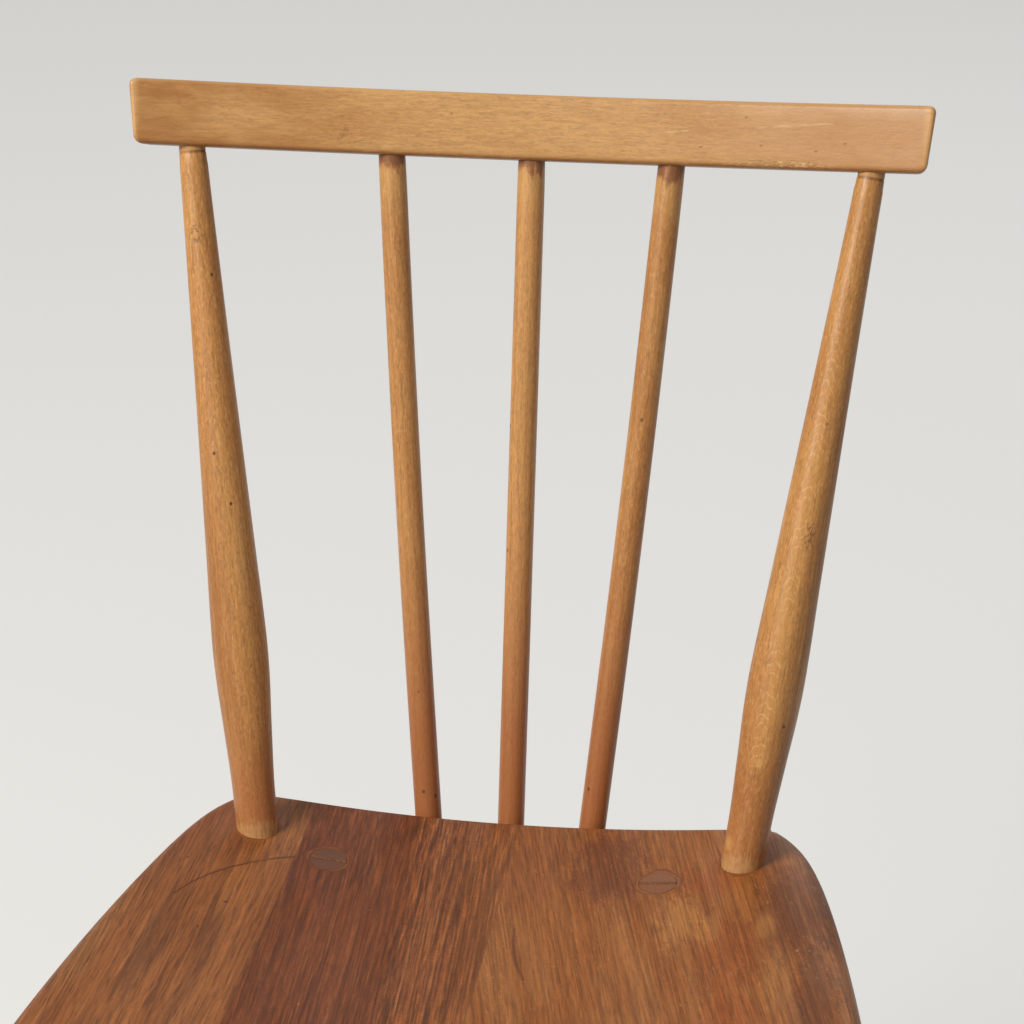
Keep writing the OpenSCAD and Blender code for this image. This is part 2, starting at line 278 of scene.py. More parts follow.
def cut(shape, point, normal, clear_outer=False):
    """Cuts every face that a plane passes through, and may clear away what lies beyond."""
    everything = shape.verts[:] + shape.edges[:] + shape.faces[:]
    bmesh.ops.bisect_plane(shape, geom=everything, plane_co=point, plane_no=normal,
                           clear_outer=clear_outer)


def slice_off(shape, point, normal):
    """Cuts away what lies beyond a plane, and closes the cut."""
    cut(shape, point, normal, clear_outer=True)
    rim = [edge for edge in shape.edges if edge.is_boundary]
    return bmesh.ops.holes_fill(shape, edges=rim, sides=0)["faces"]


# %% [markdown]
# ## Turning on the lathe
# Posts, legs, stretchers and spindles are turned. A lathe shape is a profile spun about its axis.
# A turner measures a few diameters and joins them in one sweep of the gouge, so we give those few
# too, and a smooth curve that never swings past them fills in between. Where two steps share a
# place, the profile makes a crisp shoulder.

# %% Lathe
TURNING_STEP = 5.0              # mm between two rings of points on a turned piece


def sweep_between(steps, t):
    """The diameter at distance t on a smooth curve through [distance, diameter] steps."""
    i = max(k for k in range(len(steps) - 1) if steps[k][0] <= t or k == 0)
    slope = [(b[1] - a[1]) / max(b[0] - a[0], 0.001) for a, b in zip(steps, steps[1:])]
    lean = [slope[0]] + [0 if p * q <= 0 else 2 * p * q / (p + q) for p, q in zip(slope, slope[1:])]
    lean.append(slope[-1])
    (t0, d0), (t1, d1) = steps[i], steps[i + 1]
    u, gap = (t - t0) / (t1 - t0), t1 - t0
    return (d0 * (1 + 2 * u) * (1 - u) ** 2 + lean[i] * gap * u * (1 - u) ** 2
            + d1 * u * u * (3 - 2 * u) - lean[i + 1] * gap * u * u * (1 - u))


def turned(steps, segments=48, ends=()):
    """Spins a profile about Z. ends holds extra crisp [distance, diameter] points: first, last."""
    length = steps[-1][0] - steps[0][0]
    count = max(2, round(length / TURNING_STEP))
    distances = [steps[0][0] + length * k / count for k in range(count + 1)]
    profile = [(t, sweep_between(steps, min(t, steps[-1][0] - 1e-6))) for t in distances]
    profile = ([p for p in ends if p[0] <= steps[0][0]] + profile
               + [p for p in ends if p[0] > steps[0][0]])
    shape = bmesh.new()
    points = [(0, 0, profile[0][0])] + [(d / 2, 0, t) for t, d in profile] + [(0, 0, profile[-1][0])]
    line = [shape.verts.new(p) for p in points]
    edges = [shape.edges.new(pair) for pair in zip(line, line[1:])]
    bmesh.ops.spin(shape, geom=line + edges, cent=(0, 0, 0), axis=(0, 0, 1), angle=2 * math.pi,
                   steps=segments, use_merge=True)
    bmesh.ops.remove_doubles(shape, verts=shape.verts, dist=0.001)
    return shape


print("diameter halfway along a 10 to 20 mm taper:", sweep_between([(0, 10), (10, 20)], 5))

# %% [markdown]
# ## The back posts
# Each post stands in a round socket in the seat, swells to its full 28 mm about a quarter of the
# way up, and then tapers for its whole length to a thin neck under the rail, where a shallow step
# shows how far the tenon was meant to go. The posts splay outwards and lean back.

# %% Back posts
POST_FOOT_X, POST_TOP_X, BACK_LEAN, BACK_H, POST_D, POST_DEEP = 125, 170.4, 96, 332.6, 28.2, 20


def post_line(side):
    return Vector((side * POST_FOOT_X, 0, 0)), Vector((side * POST_TOP_X, BACK_LEAN, BACK_H))


for side, name in ((-1, "back_post_left"), (1, "back_post_right")):
    foot, head = post_line(side)
    shaft = (head - foot).length
    shape = turned(
        [(0, 21.3), (6, 21.5), (18, POST_D * 0.768), (50, POST_D * 0.868), (80, POST_D * 0.982),
         (93, POST_D), (107, POST_D * 0.982), (140, POST_D * 0.905), (shaft - 24, POST_D * 0.528),
         (shaft - 9, POST_D * 0.506)],
        ends=[(-POST_DEEP, 20.6), (-POST_DEEP + 2, 21.0), (-2, 21.0), (-0.6, 21.2),
              (shaft - 7.4, POST_D * 0.492), (shaft - 3.6, POST_D * 0.480), (shaft - 2.8, POST_D * 0.464),
              (shaft - 2.0, POST_D * 0.474), (shaft + 2, POST_D * 0.470), (shaft + 2, 11),
              (shaft + 16, 11), (shaft + 17, 10)])
    keep_timber(shape)
    finish_piece(shape, name, aim(foot, head))

# %% [markdown]
# ## The spindles
# The three spindles are plain 14 mm dowels, and the outer two have bowed outwards by about a
# millimetre as the wood dried. Their lower ends stand in the bevel behind the seat's back edge.
# A sine curve moves the middle of each outer one sideways.

# %% Spindles
GAP_TOP, GAP_FOOT, SPINDLE_D, RAIL_BOW, RAIL_HALF = 71, 44.5, 14, 29.5, 200
RAIL_LEAN = math.atan2(BACK_LEAN, BACK_H)


def rail_point(x):
    """The rail's middle line, on its lower face, at a distance x from the middle."""
    back = RAIL_BOW * ((POST_TOP_X / RAIL_HALF) ** 2 - (x / RAIL_HALF) ** 2)
    return Vector((x, BACK_LEAN + back * math.cos(RAIL_LEAN), BACK_H - back * math.sin(RAIL_LEAN)))


def spindle_line(i):
    foot, head = Vector((i * GAP_FOOT, 53 if i == 0 else 49, 0)), rail_point(i * GAP_TOP)
    return foot + (head - foot) * (-17 / head.z), head


for i, name in ((-1, "spindle_left"), (0, "spindle_centre"), (1, "spindle_right")):
    foot, head = spindle_line(i)
    length = (head - foot).length
    shape = turned([(-8, SPINDLE_D), (length * 0.3, SPINDLE_D + 0.1), (length * 0.7, SPINDLE_D),
                    (length - 14, SPINDLE_D - 0.1), (length + 2, SPINDLE_D - 0.5)], segments=32,
                   ends=[(-12, 9.4), (-11.5, 10), (-8, 10), (length + 2, 10), (length + 16, 10)])
    keep_timber(shape)
    place = aim(foot, head)
    outward = place.to_3x3().inverted() @ Vector((1, 0, 0))
    for vert in shape.verts:
        rise = min(max(vert.co.z / length, 0), 1)
        vert.co += outward * (i * 1.1 * math.sin(math.pi * rise))
    finish_piece(shape, name, place)

# %% [markdown]
# ## The crest rail
# The rail was sawn as a flat board with round corners, its arrises were rounded over, and then it
# was steamed and bent so that its middle lies 30 mm behind its ends. We do the same: a flat face
# with four rounded corners, extruded to the board's thickness, a bevel on every arris, cuts across
# it so that it can bend, and at the end the bend itself. The ends lean in a little to the bottom.

# %% Crest rail
RAIL_H, RAIL_T, RAIL_SLANT, RAIL_ARRIS = 32.6, 19, 3.4, 2.6
TOP_ROUND, LOW_ROUND = 4.0, 4.2
shape = bmesh.new()
low_half = RAIL_HALF - RAIL_SLANT
corners = [(RAIL_HALF, RAIL_H), (-RAIL_HALF, RAIL_H), (-low_half, 0), (low_half, 0)]
face = shape.faces.new([shape.verts.new((x, -RAIL_T / 2, z)) for x, z in corners])
for top, radius in ((True, TOP_ROUND), (False, LOW_ROUND)):
    bmesh.ops.bevel(shape, geom=[v for v in shape.verts if (v.co.z > RAIL_H / 2) == top and
                                 min(abs(v.co.z - RAIL_H), abs(v.co.z)) < 0.01 and
                                 abs(abs(v.co.x) - (RAIL_HALF if top else low_half)) < 0.01],
                    offset=radius, segments=6, profile=0.5, affect="VERTICES", material=-1)
pushed = bmesh.ops.extrude_face_region(shape, geom=shape.faces[:])["geom"]
bmesh.ops.translate(shape, vec=(0, RAIL_T, 0),
                    verts=[g for g in pushed if isinstance(g, bmesh.types.BMVert)])
arrises = [e for e in shape.edges if abs(e.verts[0].co.y - e.verts[1].co.y) < 0.01]
bmesh.ops.bevel(shape, geom=arrises, offset=RAIL_ARRIS, segments=5, profile=0.5, affect="EDGES",
                material=-1)
for k in range(-32, 33):
    cut(shape, (k * 6.1, 0, 0), (1, 0, 0))
for z in (8, 16, 24):
    cut(shape, (0, 0, z), (0, 0, 1))
keep_timber(shape, "X")
rail_r = (RAIL_HALF ** 2 + RAIL_BOW ** 2) / (2 * RAIL_BOW)
post_bow = RAIL_BOW * (POST_TOP_X / RAIL_HALF) ** 2
for vert in shape.verts:
    vert.co.y += post_bow - rail_r + math.sqrt(rail_r ** 2 - vert.co.x ** 2)
rail_place = Matrix.Translation((0, BACK_LEAN, BACK_H)) @ Matrix.Rotation(-RAIL_LEAN, 4, "X")
finish_piece(shape, "crest_rail", rail_place)

# %% [markdown]
# ## The seat blank
# The seat's outline is four long arcs that run into each other in round corners. The rim swells to
# its widest 12 mm below the top and is tucked under at the bottom. The top is dished, with a worn,
# soft border, and behind a ridge between the posts it is bevelled down to a thin back edge. These
# are the same curves as in the CAD model. Small functions say how far the outline reaches, how far
# the rim is inset at each height, and how high the top lies.

# %% Seat curves
SEAT_MID, CORNER_POWER = Vector((0, -140, 0)), 11
SEAT_ARCS = [(0, 64 - 900, 900), (0, 1150 - SEAT_FRONT, 1150), (203 - 1590, -345, 1590),
             (1590 - 203, -345, 1590)]
RIM = [(-SEAT_T, 12), (-27, 4.6), (-20, 0.9), (-WIDEST, 0.05), (-6, 1.3), (-2, 4.1), (0, 8)]
DISH_Y, DISH_DEEP, DISH_ACROSS, DISH_ALONG = -100, 10.5, 1900, 4800
RIDGE_Y, DECK_SLOPE = 34, math.radians(36)


def seat_reach(angle, inset):
    """How far the outline lies from the middle of the seat in one direction."""
    total = 0
    for cx, cy, r in SEAT_ARCS:
        qx, qy = SEAT_MID.x - cx, SEAT_MID.y - cy
        facing = qx * math.cos(angle) + qy * math.sin(angle)
        reach = math.sqrt(facing ** 2 - qx * qx - qy * qy + (r - inset) ** 2) - facing
        total += reach ** -CORNER_POWER
    return total ** (-1 / CORNER_POWER)


def rim_point(angle, inset, z):
    reach = seat_reach(angle, inset)
    return Vector((SEAT_MID.x + reach * math.cos(angle), SEAT_MID.y + reach * math.sin(angle), z))


def softer_min(a, b, blend):
    near = max(blend - abs(a - b), 0) / blend
    return min(a, b) - near * near * blend / 4


def dish_z(x, y):
    return x * x / DISH_ACROSS + (y - DISH_Y) ** 2 / DISH_ALONG - DISH_DEEP


def deck_z(x, y):
    return (dish_z(0, RIDGE_Y) - (y - RIDGE_Y) * math.tan(DECK_SLOPE)
            + x * x / 2900 / math.cos(DECK_SLOPE))


def top_z(x, y):
    return softer_min(softer_min(0, dish_z(x, y), 1.4), deck_z(x, y), 1.1)


print("dish", DISH_DEEP, "mm deep; height at the ridge", round(top_z(0, RIDGE_Y), 2), "mm")

# %% [markdown]
# ## The seat boards
# The rim at each direction starts where the top surface meets it, so the back edge comes out thin
# by itself. The top starts as one flat many-sided face. Planes cut it into a grid of 5 mm squares,
# closer together at the ridge. Points near the ridge move onto it, because it bows to the back
# towards the posts, and then every point drops to its height. The underside stays flat.
# The finished blank is copied and cut at the three glue lines into its four boards.

# %% Seat blank
def rim_start(angle):
    """The height at which the rim meets the top surface, found by halving."""
    low, high = float(-SEAT_T), 0.0
    for _ in range(30):
        z = (low + high) / 2
        p = rim_point(angle, sweep_between(RIM, z), z)
        low, high = (z, high) if top_z(p.x, p.y) > z else (low, z)
    return low


outline_points = 300
blank = bmesh.new()
angles = [2 * math.pi * k / outline_points for k in range(outline_points)]
starts = [rim_start(a) for a in angles]
rings = []
for share in (0, 0.03, 0.07, 0.13, 0.2, 0.3, 0.42, 0.55, 0.68, 0.8, 0.9, 0.96, 1):
    heights = [z + (-SEAT_T - z) * share for z in starts]
    rings.append([blank.verts.new(rim_point(a, sweep_between(RIM, z), z))
                  for a, z in zip(angles, heights)])
rings.append([blank.verts.new(rim_point(a, 18, -SEAT_T)) for a in angles])
loops = [[blank.edges.new((ring[k - 1], ring[k])) for k in range(outline_points)] for ring in rings]
for upper, lower in zip(loops, loops[1:]):
    bmesh.ops.bridge_loops(blank, edges=upper + lower)
blank.faces.new(rings[-1])
top_face = blank.faces.new(rings[0])
print("blank:", len(blank.faces), "faces; its edge is thinnest at the back,", round(min(starts) + SEAT_T, 1))

# %% Seat top
CLOSING = 0.78                  # mm by which dish and bevel near each other, per mm towards the back
top_parts = [top_face] + list(top_face.edges) + list(top_face.verts)
near_ridge = [30, 32, 33.2, RIDGE_Y, 34.8, 36, 38, 41, 45, 50, 55, 59]
cuts = [((2.5 + 5 * k, 0, 0), (1, 0, 0)) for k in range(-40, 40)]
cuts += [((0, y, 0), (0, 1, 0)) for y in list(range(-320, 30, 5)) + near_ridge]
for point, normal in cuts:
    parted = bmesh.ops.bisect_plane(blank, geom=top_parts, plane_co=point, plane_no=normal)
    top_parts = [g for g in parted["geom"] if g.is_valid]
inside = {v for v in top_parts if isinstance(v, bmesh.types.BMVert)} - set(rings[0])
for vert in inside:
    x, y, _ = vert.co
    if not any(len(face.verts) > 4 and face not in top_parts for face in vert.link_faces):
        to_ridge = (dish_z(x, RIDGE_Y) - deck_z(x, RIDGE_Y)) / -CLOSING if abs(x) < POST_FOOT_X else 0
        vert.co.y += to_ridge * max(0, 1 - abs(y - RIDGE_Y) / 20)
    vert.co.z = top_z(vert.co.x, vert.co.y)
print("seat top cut into", len([g for g in top_parts if isinstance(g, bmesh.types.BMFace)]), "faces")

# %% [markdown]
# ## Boring the seat
# The legs' tenons go right through the boards, and the posts and spindles stand in round sockets.
# A bored hole is a Boolean: a plain cylinder on the joint's own line is taken away from the board.
# The cutters are a little wider than the wood that fills them, so each joint shows as a fine dark
# ring. A Boolean is a modifier, so its result is read back and kept before the cutters go.

# %% Boring helper and joint lines
LEG_LINES = {}
for name, side, top_x, top_y, foot_x, foot_y in (
        ("front_left", -1, 122, -262, 172, -292), ("front_right", 1, 122, -262, 172, -292),
        ("back_left", -1, 84, -19, 158, 88), ("back_right", 1, 84, -19, 158, 88)):
    top = Vector((side * top_x, top_y, min(0, dish_z(top_x, top_y))))
    floor_z = foot_y * math.tan(SEAT_TILT) - SEAT_H / math.cos(SEAT_TILT)
    LEG_LINES[name] = (top, Vector((side * foot_x, foot_y, floor_z)))


def bit(start, end, diameter, low, high):
    """A cylinder on the line from start to end, between two distances from its start."""
    shape = bmesh.new()
    bmesh.ops.create_cone(shape, cap_ends=True, segments=56, radius1=diameter / 2,
                          radius2=diameter / 2, depth=high - low)
    bmesh.ops.translate(shape, verts=shape.verts, vec=(0, 0, (low + high) / 2))
    bmesh.ops.transform(shape, matrix=seat_frame @ aim(start, end), verts=shape.verts)
    return put("bit", write_mesh(shape, "bit"))


def bore(piece, cutters):
    for cutter in cutters:
        hole = piece.modifiers.new("hole", "BOOLEAN")
        hole.operation, hole.solver, hole.object = "DIFFERENCE", "EXACT", cutter
    ready = piece.evaluated_get(bpy.context.evaluated_depsgraph_get())
    bored = bpy.data.meshes.new_from_object(ready)
    piece.modifiers.clear()
    piece.data = bored
    for cutter in cutters:
        bpy.data.objects.remove(cutter)
    print(piece.name, "bored:", len(bored.polygons), "faces")


print("legs splay to", [[round(c) for c in foot] for _, foot in LEG_LINES.values()])

# %% Four boards
keep_timber(blank, "Y")
whole = write_mesh(blank, "whole_seat")
GLUE_LINES = [-100.5, 7, 105]
POST_BIT, LEG_BIT, SPINDLE_BIT = (21.5, -POST_DEEP, 52), (19.5, -12, 60), (14.6, -6, 66)
sockets = {
    "seat_board_left": [(*post_line(-1), *POST_BIT), (*LEG_LINES["front_left"], *LEG_BIT)],
    "seat_board_mid_left": [(*LEG_LINES["back_left"], *LEG_BIT), (*spindle_line(-1), *SPINDLE_BIT),
                            (*spindle_line(0), *SPINDLE_BIT)],
    "seat_board_mid_right": [(*LEG_LINES["back_right"], *LEG_BIT), (*spindle_line(1), *SPINDLE_BIT)],
    "seat_board_right": [(*post_line(1), *POST_BIT), (*LEG_LINES["front_right"], *LEG_BIT)]}
edges_x = [-500] + GLUE_LINES + [500]
for name, left_x, right_x in zip(sockets, edges_x, edges_x[1:]):
    shape = bmesh.new()
    shape.from_mesh(whole)
    slice_off(shape, (left_x, 0, 0), (-1, 0, 0))
    slice_off(shape, (right_x, 0, 0), (1, 0, 0))
    finish_piece(shape, name)
    bore(pieces[name], [bit(*socket) for socket in sockets[name]])
bpy.data.meshes.remove(whole)

# %% [markdown]
# ## The legs
# Each leg is turned with its fullest part a little above the middle and tapers to a 20 mm foot. Its
# top is a straight 19 mm tenon that shows as a round in the seat, cut flush with the dish, and its
# foot is cut level with the floor and a little rounded by wear. Both cuts are planes.

# %% Legs
TENON_D, LEG_D, FOOT_D = 19, 30, 20


def cut_flush(shape, place, top, proud):
    """Cuts a leg or wedge along the seat's top, so that it stands proud by this much."""
    out = Vector((0, 0, 1))
    if dish_z(top.x, top.y) < 0:
        out = Vector((-2 * top.x / DISH_ACROSS, -2 * (top.y - DISH_Y) / DISH_ALONG, 1)).normalized()
    slice_off(shape, place.inverted() @ (top + out * proud), place.inverted().to_3x3() @ out)


for name, (top, foot) in LEG_LINES.items():
    long = (foot - top).length
    shape = turned(
        [(SEAT_T + 0.5, TENON_D + 3.4), (SEAT_T + 8, TENON_D + 5.2), (long * 0.26, LEG_D * 0.93),
         (long * 0.36, LEG_D * 0.99), (long * 0.42, LEG_D), (long * 0.5, LEG_D * 0.985),
         (long * 0.66, LEG_D * 0.89), (long * 0.985, FOOT_D + 0.4), (long + 9, FOOT_D)],
        ends=[(-9, TENON_D), (SEAT_T - 8, TENON_D), (SEAT_T - 7.8, TENON_D + 3)])
    place = aim(top, foot)
    cut_flush(shape, place, top, 0.05)
    sole = slice_off(shape, place.inverted() @ (FLOOR_POINT + UP * 0.02), place.inverted().to_3x3() @ -UP)
    bmesh.ops.bevel(shape, geom=list(sole[0].edges), offset=1.3, segments=3, profile=0.5,
                    affect="EDGES", material=-1)
    keep_timber(shape)
    finish_piece(shape, "leg_" + name, place)

# %% [markdown]
# ## The wedges
# A thin wedge was driven across each tenon to spread it in its hole. It starts as a round of the
# tenon's own size, and four cuts make it: two flanks that close towards the tip, the tip, and the
# top, which stands a hair above the tenon as it does when an old tenon shrinks.

# %% Wedges
WEDGE_R, WEDGE_HALF, WEDGE_DEEP = 9.46, 1.02, 19
taper = math.atan2(0.9, 27)
for name, (top, foot) in LEG_LINES.items():
    place = aim(top, foot)
    shape = bmesh.new()
    bmesh.ops.create_cone(shape, cap_ends=True, segments=48, radius1=WEDGE_R, radius2=WEDGE_R, depth=60)
    across = place.inverted().to_3x3() @ Vector((0, 1, 0))
    across = Vector((across.x, across.y, 0)).normalized()
    for way in (1, -1):
        flank = (across * way * math.cos(taper) + Vector((0, 0, math.sin(taper)))).normalized()
        slice_off(shape, across * way * WEDGE_HALF, flank)
    slice_off(shape, Vector((0, 0, WEDGE_DEEP)), Vector((0, 0, 1)))
    cut_flush(shape, place, top, 0.16)
    keep_timber(shape)
    finish_piece(shape, "wedge_" + name, place)

# %% [markdown]
# ## The stretchers
# Two side stretchers tie each front leg to the back leg behind it, and a cross stretcher joins
# their middles, so from above the three make an H. Each swells from 12 mm ends to its middle.

# %% Stretchers
def above_foot(line, height):
    top, foot = line
    return foot + (top - foot) * height / (top.z - foot.z)


def stretcher(node, start, end, middle_d):
    long = (end - start).length
    shape = turned([(18, 12.4), (28, 13.4), (long * 0.3, middle_d * 0.9), (long * 0.42, middle_d * 0.985),
                    (long * 0.5, middle_d), (long * 0.58, middle_d * 0.985), (long * 0.7, middle_d * 0.9),
                    (long - 28, 13.4), (long - 18, 12.4)], segments=36,
                   ends=[(-2, 12), (8, 12), (long - 8, 12), (long + 2, 12)])
    keep_timber(shape)
    finish_piece(shape, node, aim(start, end))


joints = {name: above_foot(line, 158) for name, line in LEG_LINES.items()}
middles = {}
for side in ("left", "right"):
    front, back = joints["front_" + side], joints["back_" + side]
    stretcher("side_stretcher_" + side, front, back, 21)
    middles[side] = (front + back) / 2
stretcher("cross_stretcher", middles["left"], middles["right"], 19)

# %% [markdown]
# ## Wood as a solid pattern
# A board shows lines because a plane cuts the tree's growth rings. So the pattern is built as in
# the tree: the distance from the pith, a little wavy, divided by the width of a year's growth. The
# part after the decimal point then runs from 0 to 1 across each ring, and late wood is the dark end
# of it. Because this is solid, end grain, flat faces and turned tapers all come out right. Lengths
# are in millimetres throughout. Stretched noise gives streaks, fibres and pores: it is squeezed
# across the grain and drawn out along it. A wood is kept as one record of its parts, and its colour
# is built up in layers, each laid on through a mask that says where it shows.

# %% Grain helpers
GAIN = {"operation": "MULTIPLY_ADD"}


def start_wood(name, colour):
    """A wood with one colour. x, y and z say where a point lies in the timber, grain is what its
    figure follows, and place is what its marks are measured in."""
    material = bpy.data.materials.new(name)
    material.use_nodes = True
    tree = material.node_tree
    timber = add(tree, "Attribute", {"attribute_name": "timber"}, {}, "Vector")
    x, y, z = add(tree, "SeparateXYZ", {}, [timber]).node.outputs
    return SimpleNamespace(material=material, tree=tree, shader=tree.nodes["Principled BSDF"],
                           place=timber, grain=timber, x=x, y=y, z=z, colour=linear(colour))


def streaks(wood, across, along_grain, detail, shift=0.0, rough=0.6):
    """Noise whose patches are this wide across the grain and this long along it."""
    scaled = add(wood.tree, "Mapping", {},
                 {"Vector": wood.grain, "Location": (shift, 0.7 * shift, 1.3 * shift),
                  "Scale": (1 / across, 1 / across, 1 / along_grain)})
    return add(wood.tree, "TexNoise", {}, {"Vector": scaled, "Scale": 1.0, "Detail": detail,
                                           "Roughness": rough}, "Fac")


def mask(wood, *parts):
    """Multiplies the parts of a mask. A part is a mask, a strength, or a value with the two limits
    between which it goes smoothly from 0 to 1, or from one given number to another."""
    total = None
    for part in parts:
        if isinstance(part, tuple):
            part = add(wood.tree, "MapRange", {"interpolation_type": "SMOOTHSTEP"}, part)
        total = part if total is None else add(wood.tree, "Math", TIMES, [total, part])
    return total


def lay(wood, colour, *parts):
    """Lays a hex colour over a wood through the mask that the parts make."""
    wood.colour = add(wood.tree, "Mix", {"data_type": "RGBA"},
                      {0: mask(wood, *parts), 6: wood.colour, 7: linear(colour)}, 2)


def shade(wood, factor):
    """Makes a wood darker and lighter from place to place."""
    wood.colour = add(wood.tree, "VectorMath", {"operation": "SCALE"}, {0: wood.colour, "Scale": factor})


def growth(wood, pith, run_out, year, wander, shift):
    """0 to 1 across each growth ring about a pith that lies at x, y in the grain."""
    tree = wood.tree
    off = add(tree, "VectorMath", {"operation": "SUBTRACT"}, [wood.grain, (*pith, 0)])
    flat = add(tree, "VectorMath", TIMES, [off, (1, 1, 0)])
    radius = add(tree, "VectorMath", {"operation": "LENGTH"}, [flat], "Value")
    for value, gain in ((wood.z, run_out), (streaks(wood, 22, 150, 2.0, shift), wander),
                        (streaks(wood, 2.5, 60, 1.0, shift + 5), 0.5 * year)):
        radius = add(tree, "Math", GAIN, [value, gain, radius])
    return add(tree, "Math", {"operation": "FRACT"}, [add(tree, "Math", TIMES, [radius, 1 / year])])


# %% [markdown]
# ## Marks
# Wear is made of a few kinds of mark, each at a measured place on its piece. An oval mark is 1 in
# its middle and fades to its edge. A scratch is the distance to a short straight line. Each is
# broken up by multiplying it with noise, because no real stain has a clean edge.

# %% Mark helpers
def oval(wood, centre, radii, core=0.35):
    tree = wood.tree
    off = add(tree, "VectorMath", {"operation": "SUBTRACT"}, [wood.place, centre])
    off = add(tree, "VectorMath", {"operation": "DIVIDE"}, [off, radii])
    far = add(tree, "VectorMath", {"operation": "LENGTH"}, [off], "Value")
    return mask(wood, (far, 1.0, core))


def scratch(wood, start, end, width):
    """1 along a line from start to end, fading to 0 at half the width to each side."""
    tree, line = wood.tree, Vector(end) - Vector(start)
    off = add(tree, "VectorMath", {"operation": "SUBTRACT"}, [wood.place, start])
    share = add(tree, "VectorMath", {"operation": "DOT_PRODUCT"}, [off, line / line.length_squared],
                "Value")
    share = add(tree, "Clamp", {}, [share])
    foot = add(tree, "VectorMath", {"operation": "SCALE"}, {0: line, "Scale": share})
    far = add(tree, "VectorMath", {"operation": "DISTANCE"}, [off, foot], "Value")
    return mask(wood, (far, width / 2, width / 6))


def most(wood, masks):
    """The strongest of several masks at each point."""
    total = masks[0]
    for other in masks[1:]:
        total = add(wood.tree, "Math", {"operation": "MAXIMUM"}, [total, other])
    return total


def spots(wood, radii, centres):
    """Small ovals of one size, such as pin knots, as one mask."""
    return most(wood, [oval(wood, centre, radii) for centre in centres])


def gouge_line(wood, points, widths):
    """A bent line on the seat, through points given as x and back."""
    return most(wood, [scratch(wood, (a[0], 0, a[1]), (b[0], 0, b[1]), width)
                       for a, b, width in zip(points, points[1:], widths)])


# %% [markdown]
# ## Beech under worn varnish
# The turned pieces and the rail are European beech: pinkish tan, close-grained, with faint rings a
# few millimetres apart and thousands of short flecks, dark and pale, which are the rays cut across.
# The varnish is a clear one brushed on and rubbed by hands for decades, so it is satin, warmer where
# it is thick and duller where it has worn. Real flecks are 0.3 mm wide. They are drawn about three
# times as wide, because finer ones would vanish in the render.

# %% Beech
def beech(name, light, deep, pith, shift, ring=0.22, flecks=0.22, patchy=0.7, streaky=0.25):
    """A wood with rings, streaks, flecks and fibres, and the noises that wear is broken up with."""
    wood = start_wood(name, light)
    wood.cloud = streaks(wood, 26, 85, 3.0, shift)
    lay(wood, deep, (wood.cloud, 0.32, 0.68, 0.5 - patchy / 2, 0.5 + patchy / 2))
    wood.rings = growth(wood, pith, 0.012, 2.9, 9.0, shift)
    lay(wood, "#8A5226", (wood.rings, 0.45, 0.95), ring)
    wood.streak = streaks(wood, 2.4, 70, 3.0, shift + 11)
    lay(wood, "#8C5428", (wood.streak, 0.52, 0.74), streaky)
    lay(wood, "#DDA96C", (wood.streak, 0.46, 0.26), 0.8 * streaky)
    wood.pits = mask(wood, (streaks(wood, 0.9, 3.2, 1.0, shift + 23), 0.53, 0.66))
    lay(wood, "#E2B274", (streaks(wood, 1.0, 2.6, 3.0, shift + 47), 0.52, 0.66), flecks)
    wood.fibre = streaks(wood, 1.0, 7, 2.0, shift + 31)
    shade(wood, add(wood.tree, "Math", {"operation": "SUBTRACT"},
                    [mask(wood, (wood.fibre, 0.3, 0.7, 0.89, 1.11)), mask(wood, wood.pits, 0.6 * flecks)]))
    return wood


def varnish(wood, names, roughness, coat, gloss=0.5, pore_depth=0.05, marks=None, mark_depth=0.15):
    """Gives a wood its satin varnish, its pores and its dents, and puts it on the named pieces."""
    tree, shader = wood.tree, wood.shader
    tree.links.new(wood.colour, shader.inputs["Base Color"])
    tree.links.new(mask(wood, (wood.cloud, 0.3, 0.7, roughness - 0.07, roughness + 0.1)),
                   shader.inputs["Roughness"])
    for name, value in (("IOR", 1.5), ("Specular IOR Level", gloss), ("Coat Weight", coat),
                        ("Coat Roughness", 0.22)):
        shader.inputs[name].default_value = value
    pores = add(tree, "Math", GAIN, [wood.pits, -0.6, mask(wood, wood.fibre, 0.7)])
    normal = add(tree, "Bump", {}, {"Strength": 0.55, "Distance": pore_depth / 1000, "Height": pores})
    if marks is not None:
        normal = add(tree, "Bump", {"invert": True},
                     {"Strength": 0.8, "Distance": mark_depth / 1000, "Height": marks, "Normal": normal})
    tree.links.new(normal, shader.inputs["Normal"])
    for name in names:
        pieces[name].data.materials.clear()
        pieces[name].data.materials.append(wood.material)


print("helpers ready for", len(pieces), "pieces")
